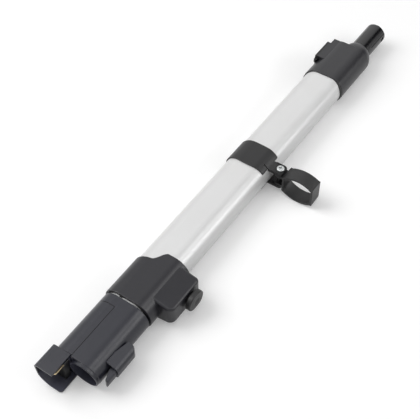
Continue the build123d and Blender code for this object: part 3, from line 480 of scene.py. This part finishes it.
def brightMetal(name, colour, gloss, stain):
    # turned or pressed bright metal
    mat = Finish(name)
    swirl = mat.noise(mat.place(), *bright["swirl"])
    marks = mat.streaks(*bright["marks"])
    stained = mat.ramp(mat.noise(mat.place(), *bright["stain"]), *bright["stainEnds"])
    return mat.surface(Base_Color=mat.blend(stained, colour, stain), Metallic=1.0,
                       Roughness=gloss + (marks - 0.5) * bright["roughSpread"],
                       Normal=mat.bump(swirl, bright["depth"], bright["strength"]))


finishes = {name: mouldedPlastic(name + "Plastic", **values) for name, values in mouldings.items()}
finishes["tube"] = drawnAluminium("tubeAluminium", shade=0.665, gloss=0.36, depth=0.00003)
finishes["rubber"] = softRubber("sealRubber", shade=0.005)
finishes["brass"] = brightMetal("contactBrass", (0.96, 0.80, 0.50, 1), 0.30, stain=(0.88, 0.68, 0.38, 1))
finishes["steel"] = brightMetal("screwSteel", (0.52, 0.54, 0.54, 1), 0.38, stain=(0.36, 0.37, 0.37, 1))

wears = {
    "tube": ["outer_tube", "inner_tube"],
    "head": ["upper_collar"],
    "collar": ["lower_collar", "button_plate"],
    "fitting": ["end_fitting", "channel_cover", "plug_shroud", "latch_pedal", "latch_hook"],
    "ribbed": ["tool_ring"],
    "clip": ["clip_band"],
    "trim": ["plug_block", "plug_cover", "release_button", "contact_base"],
    "bush": ["guide_bush", "slide_bush", "lock_lever"],
    "rubber": ["upper_seal", "air_seal", "nozzle_seal"],
    "brass": ["plug_pins", "contact_blades"],
    "steel": ["lock_pin", "lock_spring", "latch_pin", "latch_spring", "clip_screw", "clip_nut"],
}


def dressNodes():
    for finish, names in wears.items():
        for name in names:
            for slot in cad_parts[name].material_slots:
                slot.material = finishes[finish]


dressNodes()
print("finishes on:", sum(len(names) for names in wears.values()), "nodes")


# what follows is too fine for the CAD, or is a dark piece put where there is only shade, as painted shade
def sweep(sections):
    # joins closed outlines of equally many points, with a cap at each end
    count = len(sections[0])
    points = [point for section in sections for point in section]
    faces = [list(range(count)), [len(points) - 1 - i for i in range(count)]]
    for i in range(len(sections) - 1):
        for k in range(count):
            a, b = i * count + k, i * count + (k + 1) % count
            faces.append((a, a + count, b + count, b))
    return points, faces


rounding = {"sharp": 0.6, "segments": 3, "profile": 0.5}    # an edge over that angle, in radians, is rounded


def meshPiece(name, sections, body, finish, bevel=0.0):
    # a swept piece with its faces turned outwards, and its edges rounded by bevel
    points, faces = sweep(sections)
    mesh = bpy.data.meshes.new(name)
    mesh.from_pydata(points, [], faces)
    mesh.update()
    piece = bpy.data.objects.new(name, mesh)
    bpy.context.collection.objects.link(piece)
    mesh.materials.append(finishes[finish])
    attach(piece, body)
    work = bmesh.new()
    work.from_mesh(mesh)
    bmesh.ops.recalc_face_normals(work, faces=work.faces)
    if bevel:
        edges = [edge for edge in work.edges
                 if len(edge.link_faces) == 2 and edge.calc_face_angle() > rounding["sharp"]]
        bmesh.ops.bevel(work, geom=edges, offset=bevel, segments=rounding["segments"], affect="EDGES",
                        profile=rounding["profile"], clamp_overlap=True)
    work.to_mesh(mesh)
    work.free()
    return piece


def smoothFaces(piece, corners=None):  # all faces, or those with so many corners
    for face in piece.data.polygons:
        face.use_smooth = corners in (None, len(face.vertices))


def smoothStep(value):
    value = min(max(value, 0.0), 1.0)
    return value * value * (3 - 2 * value)


# dark skirts at the upper collar's open end, on the tube's two round sides: painted shade, a dark sheet put where
# the gap between the tube and the collar lies in shade
shadeSkirts = {
    "sides": [("shadeSkirtNear", -1, -0.0023), ("shadeSkirtFar", 1, 0.0177)],    # name, way, and centre across
    "inner": 0.02012,
    "outer": 0.02135,
    "reach": 0.0040,
    "hidden": 0.0006,                  # inside the collar
    "from": 10.0,                      # degrees from the top
    "fade": 72.0,
    "edge": 0.0005,
    "cut": 0.3,                        # share of the edge
    "steps": 56,
}


def buildShadeSkirt(name, way, centre):
    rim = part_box("upper_collar")[0].x
    inner, outer, start = shadeSkirts["inner"], shadeSkirts["outer"], shadeSkirts["from"]
    sections = []
    for i in range(shadeSkirts["steps"] + 1):
        turn = start + (180 - 2 * start) * i / shadeSkirts["steps"]
        ends = min(turn - start, 180 - start - turn)
        low = rim - shadeSkirts["reach"] * smoothStep(ends / shadeSkirts["fade"])
        high = rim + shadeSkirts["hidden"]
        edge = min(shadeSkirts["edge"], (high - low) / 2)
        cut = edge * shadeSkirts["cut"]
        outline = [(high, outer), (low + edge, outer), (low + cut, outer - cut), (low, outer - edge),
                   (low, inner), (high, inner)]
        s, c = math.sin(math.radians(turn)), math.cos(math.radians(turn))
        sections.append([(x, centre + way * r * s, r * c) for x, r in outline])
    # the dark seal rubber gives the skirt its painted shade
    meshPiece(name, sections, "outer", "rubber")


# a black block along the first blade's upper part: painted shade, a dark piece put where the blade lies in shade
bladeShade = {"y": (0.0107, 0.0134), "z": (0.0148, 0.0174), "edge": 0.0004}


def buildBladeShade():
    low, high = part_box("contact_base")
    (y0, y1), (z0, z1) = bladeShade["y"], bladeShade["z"]
    sections = [[(x, y0, z0), (x, y1, z0), (x, y1, z1), (x, y0, z1)] for x in (low.x, high.x)]
    smoothFaces(meshPiece("bladeShadeBlock", sections, "inner", "trim", bevel=bladeShade["edge"]))


# coil springs for the lock lever and the latch pedal, built at the length of their nodes
coils = {
    "steps": 32,                       # along one turn
    "sides": 10,                       # of the wire
    "springs": [
        dict(name="lockCoil", node="lock_spring", body="outer", joint="lock_swing", wire=0.0008, turns=3,
             fixed=-0.0412, keep=0.46),
        dict(name="latchCoil", node="latch_spring", body="inner", joint="latch_press", wire=0.0009, turns=3,
             fixed=-0.0273, keep=0.84),
    ],
}


def buildCoil(name, node, body, joint, wire, turns, fixed, keep):
    low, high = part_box(node)
    middle = (low + high) / 2
    radius, half = (high.x - low.x - wire) / 2, wire / 2
    length = high.y - low.y - wire
    sections = []
    for i in range(turns * coils["steps"] + 1):
        turn = 2 * math.pi * i / coils["steps"]
        y = high.y - half - length * i / (turns * coils["steps"])
        section = []
        for k in range(coils["sides"]):
            around = 2 * math.pi * k / coils["sides"]
            out = radius + half * math.cos(around)
            section.append((middle.x + out * math.cos(turn), y + half * math.sin(around),
                            middle.z + out * math.sin(turn)))
        sections.append(section)
    piece = meshPiece(name, sections, body, "steel")
    smoothFaces(piece, corners=4)      # the caps stay flat
    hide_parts(node)
    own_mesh(piece)


for side in shadeSkirts["sides"]:
    buildShadeSkirt(*side)
buildBladeShade()
for spring in coils["springs"]:
    buildCoil(**spring)
print("fine pieces made")
